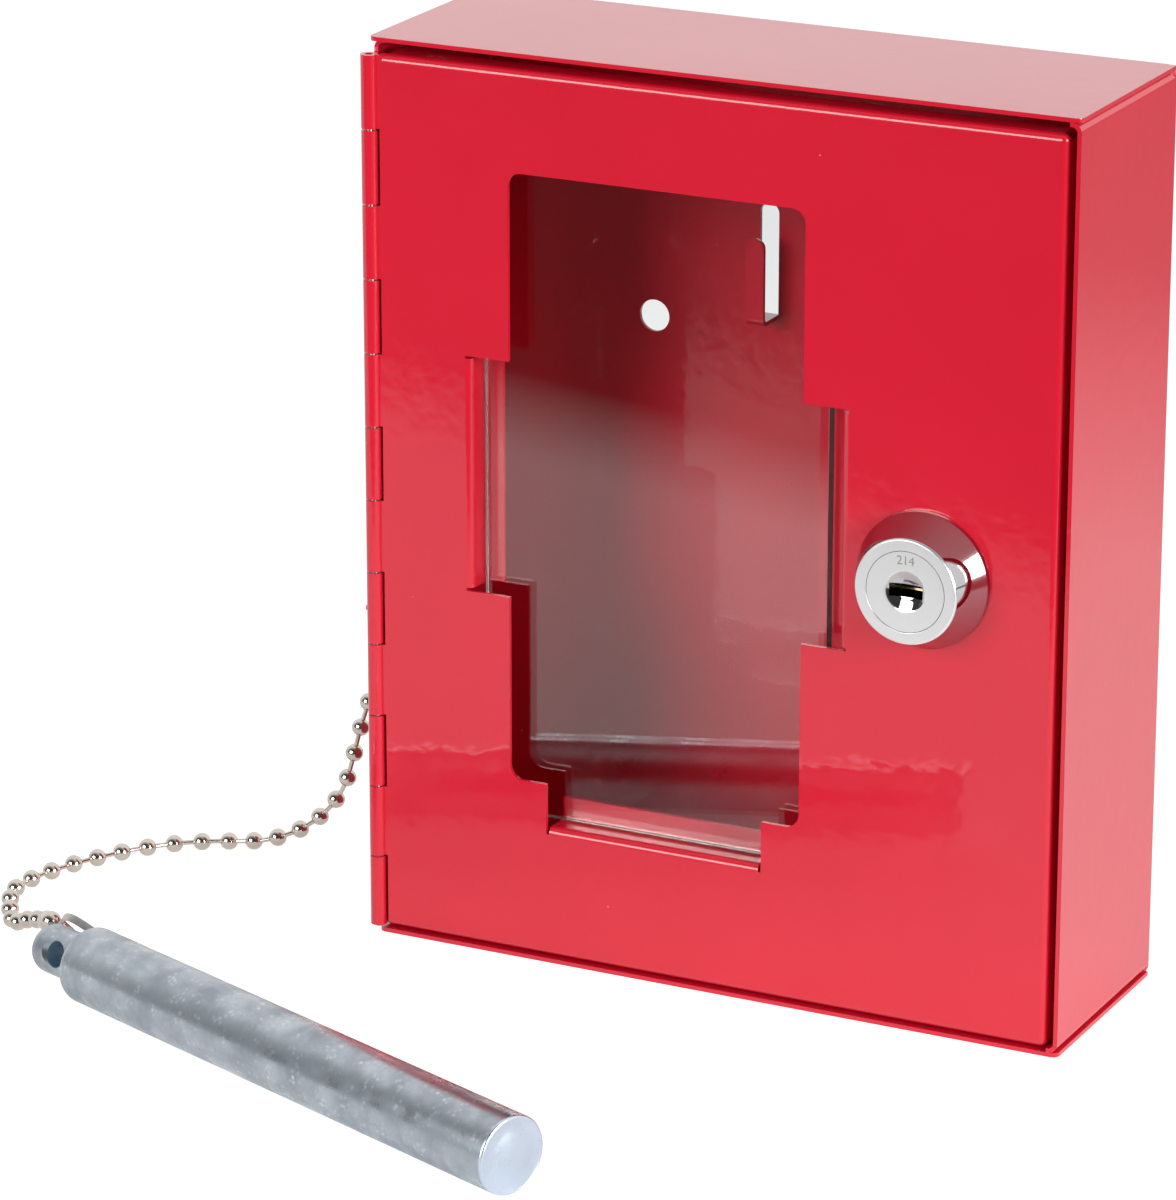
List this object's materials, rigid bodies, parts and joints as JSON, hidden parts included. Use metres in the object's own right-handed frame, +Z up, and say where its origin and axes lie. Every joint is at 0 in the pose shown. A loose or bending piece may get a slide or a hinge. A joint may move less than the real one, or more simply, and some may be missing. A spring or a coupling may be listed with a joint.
{
  "type": "break glass key box",
  "caption": "Small wall-mounted steel key box with a glazed hinged door, a cam lock, a key hook inside and a short metal hammer on a ball chain.",
  "frame": {"origin": "centre of the case's base", "axes": "+X to the right seen from the front, +Y to the wall behind the case, +Z up; the door faces -Y"},
  "size_m": [0.1826, 0.1293, 0.15],
  "materials": {
    "red_enamel": "gloss",
    "glass": "clear, polished",
    "lock_chrome": "polished chrome with a satin face",
    "zinc_steel": "bright zinc plate",
    "pin_steel": "plain drawn steel",
    "wafer_brass": "stamped",
    "chain_nickel": "nickel plate",
    "hammer_zinc": "mottled bluish zinc plate"
  },
  "bodies": {
    "case": {"case_shell": "red_enamel", "lock_strike": "red_enamel", "hinge_pin": "pin_steel", "chain_bracket": "red_enamel", "bracket_rivets": "zinc_steel", "upper_clasp": "chain_nickel", "ball_chain": "chain_nickel"},
    "door": {"door_panel": "red_enamel", "lock_housing": "lock_chrome", "lock_tooth_washer": "zinc_steel", "lock_nut": "zinc_steel"},
    "glass": {"glass_pane": "glass"},
    "lock_turning": {"lock_plug": "lock_chrome", "lock_wafers": "wafer_brass", "wafer_springs": "pin_steel", "stop_washer": "zinc_steel", "lock_cam": "zinc_steel", "cam_washer": "zinc_steel", "cam_screw": "zinc_steel"},
    "chain_end": {"lower_clasp": "chain_nickel"},
    "hammer": {"hammer": "hammer_zinc", "hammer_loop": "pin_steel"}
  },
  "joints": [
    {"name": "door_hinge", "type": "hinge", "parent": "case", "child": "door", "pos_m": [-0.06, -0.0198, 0.075], "axis": [0, 0, -1], "range_deg": [0, 105]},
    {"name": "lock_turn", "type": "hinge", "parent": "door", "child": "lock_turning", "pos_m": [0.036, -0.02, 0.075], "axis": [0, -1, 0], "range_deg": [0, 90]},
    {"name": "glass_lift", "type": "slide", "parent": "door", "child": "glass", "axis": [0, 0, 1], "range_m": [0, 0.0095]},
    {"name": "hammer_lift", "type": "slide", "parent": "case", "child": "chain_end", "axis": [0, 0, 1], "range_m": [0, 0.06]},
    {"name": "hammer_swing", "type": "hinge", "parent": "chain_end", "child": "hammer", "pos_m": [-0.0997, -0.0579, 0.008], "axis": [0, 0, -1], "range_deg": [0, 84]}
  ],
  "couplings": [
    {"joint": "hammer_swing", "follows": "door_hinge", "ratio": 0.8}
  ]
}
